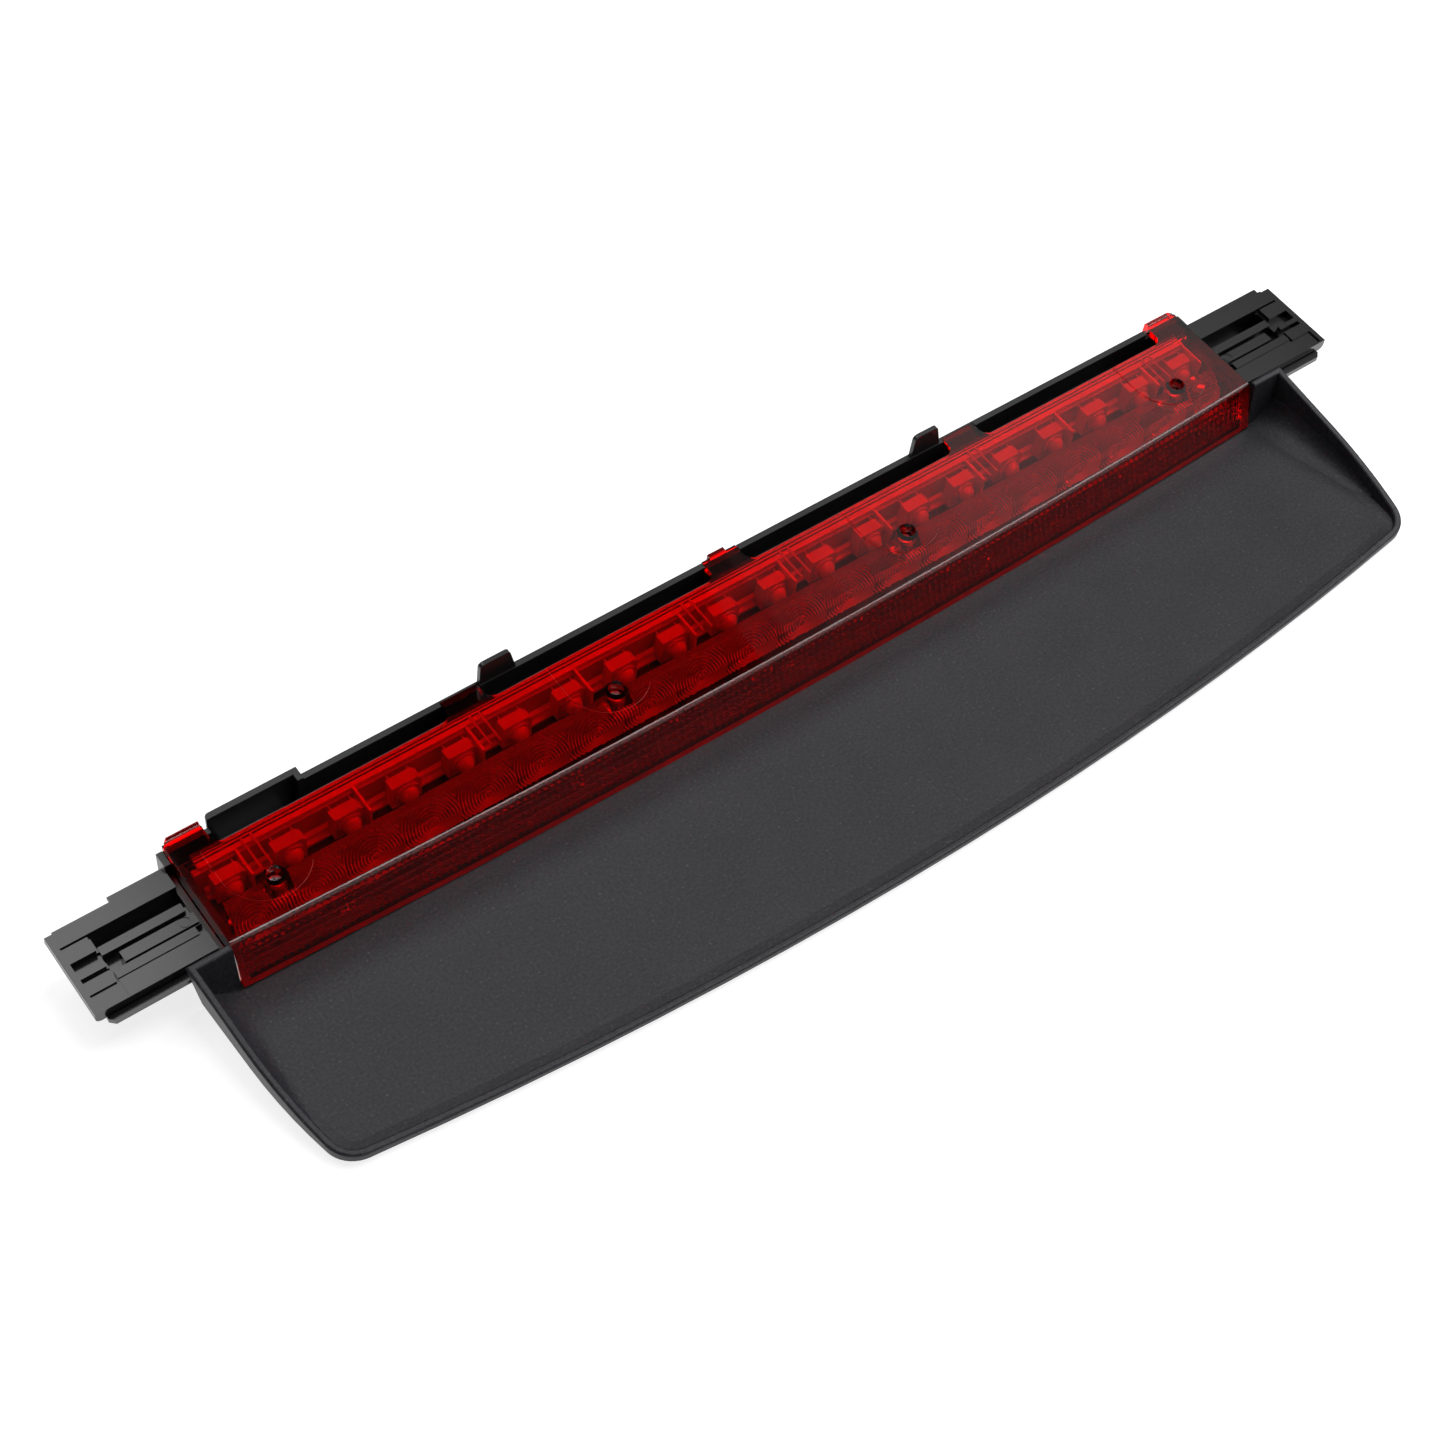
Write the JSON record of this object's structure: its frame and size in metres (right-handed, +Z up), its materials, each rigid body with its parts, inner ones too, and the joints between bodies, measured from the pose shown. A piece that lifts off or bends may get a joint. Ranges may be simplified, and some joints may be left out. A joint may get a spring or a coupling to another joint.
{
  "type": "third brake light",
  "caption": "Long high-level brake light: red lens over a row of LEDs on a black housing, with a broad glare shade in front and a slide-in arm at each end.",
  "frame": {"origin": "middle of the lamp's bounding box in plan, on the surface that it rests on", "axes": "+X along the lamp towards its right end seen from the shade's side, -Y towards the shade's front rim, +Z up from the rest surface"},
  "size_m": [0.3562, 0.1004, 0.0261],
  "materials": {
    "shade_charcoal": "fine moulded grain, charcoal",
    "housing_black": "moulded black, low sheen",
    "arm_black": "polished black moulding",
    "lens_red": "polished transparent red",
    "optic_clear": "polished clear moulding",
    "holder_grey": "plain light moulding",
    "board_tan": "bare laminate",
    "lead_tin": "tinned wire",
    "resistor_black": "fine matt coating",
    "capacitor_tan": "glazed ceramic",
    "connector_grey": "moulded grey",
    "terminal_tin": "tinned blade",
    "wire_jacket": "smooth wire jacket",
    "screw_steel": "zinc plated",
    "led_epoxy": "clear moulded epoxy"
  },
  "bodies": {
    "root": {"shade": "shade_charcoal", "housing": "housing_black", "arm_left": "arm_black", "arm_right": "arm_black", "lens": "lens_red", "fresnel_strip": "optic_clear", "led_holder": "holder_grey", "circuit_board": "board_tan", "led_leads": "lead_tin", "resistors": "resistor_black", "diode": "resistor_black", "capacitor": "capacitor_tan", "connector_shell": "connector_grey", "connector_terminals": "terminal_tin", "link_wires": "wire_jacket", "lens_screws": "screw_steel", "arm_screws": "screw_steel", "shade_screws": "screw_steel", "led_01": "led_epoxy", "led_02": "led_epoxy", "led_03": "led_epoxy", "led_04": "led_epoxy", "led_05": "led_epoxy", "led_06": "led_epoxy", "led_07": "led_epoxy", "led_08": "led_epoxy", "led_09": "led_epoxy", "led_10": "led_epoxy", "led_11": "led_epoxy", "led_12": "led_epoxy", "led_13": "led_epoxy", "led_14": "led_epoxy", "led_15": "led_epoxy", "led_16": "led_epoxy", "led_17": "led_epoxy", "led_18": "led_epoxy", "led_19": "led_epoxy", "led_20": "led_epoxy"}
  },
  "joints": []
}
